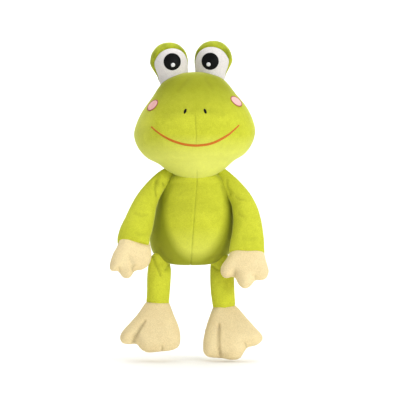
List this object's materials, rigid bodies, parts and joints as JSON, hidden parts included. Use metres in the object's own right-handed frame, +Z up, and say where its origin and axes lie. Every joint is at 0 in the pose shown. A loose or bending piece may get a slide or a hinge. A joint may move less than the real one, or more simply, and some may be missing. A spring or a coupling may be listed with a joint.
{
  "type": "hand puppet",
  "caption": "Plush frog hand puppet with a stuffed head, arms and legs and a glove pocket that opens under the body.",
  "frame": {"origin": "centre of the width of the hand opening's plane under the body, below the neck's axis from front to back", "axes": "+Z up through the neck, the face looks towards -Y, +X is the puppet's left side"},
  "size_m": [0.2017, 0.136, 0.3993],
  "materials": {
    "lime_plush": "short-pile plush",
    "cream_plush": "short-pile plush",
    "white_plush": "short-pile plush",
    "black_stitch": "satin embroidery",
    "white_stitch": "satin embroidery",
    "orange_stitch": "satin embroidery",
    "plum_stitch": "satin embroidery",
    "pink_felt": "felt",
    "green_thread": "sewing thread",
    "lining_cloth": "smooth lining cloth",
    "fibre_filling": "polyester fibre"
  },
  "bodies": {
    "torso": {"torso_front_left": "lime_plush", "torso_front_right": "lime_plush", "torso_back_panel": "lime_plush", "torso_filling": "fibre_filling", "hand_pocket_lining": "lining_cloth", "opening_hem": "green_thread", "belly_seam_thread": "green_thread"},
    "neck_thread": {"neck_stitching": "green_thread"},
    "neck_sleeve": {"neck_lining": "lining_cloth"},
    "head": {"face_panel": "lime_plush", "head_back_panel": "lime_plush", "head_filling": "fibre_filling", "head_finger_pocket": "lining_cloth", "mouth_stitching": "orange_stitch", "face_seam_upper": "green_thread", "face_seam_chin": "green_thread", "nostril_right": "black_stitch", "cheek_patch_right": "pink_felt", "cheek_edging_right": "plum_stitch", "eye_white_right": "white_plush", "eye_back_right": "lime_plush", "eye_filling_right": "fibre_filling", "pupil_right": "black_stitch", "pupil_glint_right": "white_stitch", "nostril_left": "black_stitch", "cheek_patch_left": "pink_felt", "cheek_edging_left": "plum_stitch", "eye_white_left": "white_plush", "eye_back_left": "lime_plush", "eye_filling_left": "fibre_filling", "pupil_left": "black_stitch", "pupil_glint_left": "white_stitch"},
    "shoulder_right": {"shoulder_stitching_right": "green_thread"},
    "arm_right": {"arm_cover_right": "lime_plush", "arm_filling_right": "fibre_filling", "hand_cover_right": "cream_plush", "hand_filling_right": "fibre_filling"},
    "hip_right": {"hip_stitching_right": "green_thread"},
    "leg_right": {"leg_cover_right": "lime_plush", "leg_filling_right": "fibre_filling", "foot_upper_right": "cream_plush", "foot_sole_right": "cream_plush", "foot_filling_right": "fibre_filling"},
    "shoulder_left": {"shoulder_stitching_left": "green_thread"},
    "arm_left": {"arm_cover_left": "lime_plush", "arm_filling_left": "fibre_filling", "hand_cover_left": "cream_plush", "hand_filling_left": "fibre_filling"},
    "hip_left": {"hip_stitching_left": "green_thread"},
    "leg_left": {"leg_cover_left": "lime_plush", "leg_filling_left": "fibre_filling", "foot_upper_left": "cream_plush", "foot_sole_left": "cream_plush", "foot_filling_left": "fibre_filling"}
  },
  "joints": [
    {"name": "neck_turn", "type": "hinge", "parent": "torso", "child": "neck_thread", "pos_m": [0.003, 0, 0.092], "axis": [0, 0, 1], "range_deg": [-25, 25], "stiffness_Nm_per_rad": 0.5},
    {"name": "neck_tilt", "type": "hinge", "parent": "neck_thread", "child": "neck_sleeve", "pos_m": [0.003, 0, 0.092], "axis": [0, 1, 0], "range_deg": [-4, 4], "stiffness_Nm_per_rad": 0.5},
    {"name": "neck_nod", "type": "hinge", "parent": "neck_sleeve", "child": "head", "pos_m": [0.003, 0, 0.092], "axis": [1, 0, 0], "range_deg": [-5, 8], "stiffness_Nm_per_rad": 0.5},
    {"name": "arm_swing_right", "type": "hinge", "parent": "torso", "child": "shoulder_right", "pos_m": [-0.034, 0.01, 0.103], "axis": [-1, 0, 0], "range_deg": [0, 60], "stiffness_Nm_per_rad": 0.25},
    {"name": "arm_raise_right", "type": "hinge", "parent": "shoulder_right", "child": "arm_right", "pos_m": [-0.034, 0.01, 0.103], "axis": [0, 1, 0], "range_deg": [0, 30], "stiffness_Nm_per_rad": 0.25},
    {"name": "leg_swing_right", "type": "hinge", "parent": "torso", "child": "hip_right", "pos_m": [-0.0445, -0.0225, -0.005], "axis": [-1, 0, 0], "range_deg": [-40, 12]},
    {"name": "leg_splay_right", "type": "hinge", "parent": "hip_right", "child": "leg_right", "pos_m": [-0.0445, -0.0225, -0.005], "axis": [0, 1, 0], "range_deg": [-5, 15]},
    {"name": "arm_swing_left", "type": "hinge", "parent": "torso", "child": "shoulder_left", "pos_m": [0.039, 0.01, 0.103], "axis": [-1, 0, 0], "range_deg": [0, 60], "stiffness_Nm_per_rad": 0.25},
    {"name": "arm_raise_left", "type": "hinge", "parent": "shoulder_left", "child": "arm_left", "pos_m": [0.039, 0.01, 0.103], "axis": [0, -1, 0], "range_deg": [0, 30], "stiffness_Nm_per_rad": 0.25},
    {"name": "leg_swing_left", "type": "hinge", "parent": "torso", "child": "hip_left", "pos_m": [0.036, -0.0225, -0.0095], "axis": [-1, 0, 0], "range_deg": [-40, 12]},
    {"name": "leg_splay_left", "type": "hinge", "parent": "hip_left", "child": "leg_left", "pos_m": [0.036, -0.0225, -0.0095], "axis": [0, -1, 0], "range_deg": [-5, 15]}
  ]
}
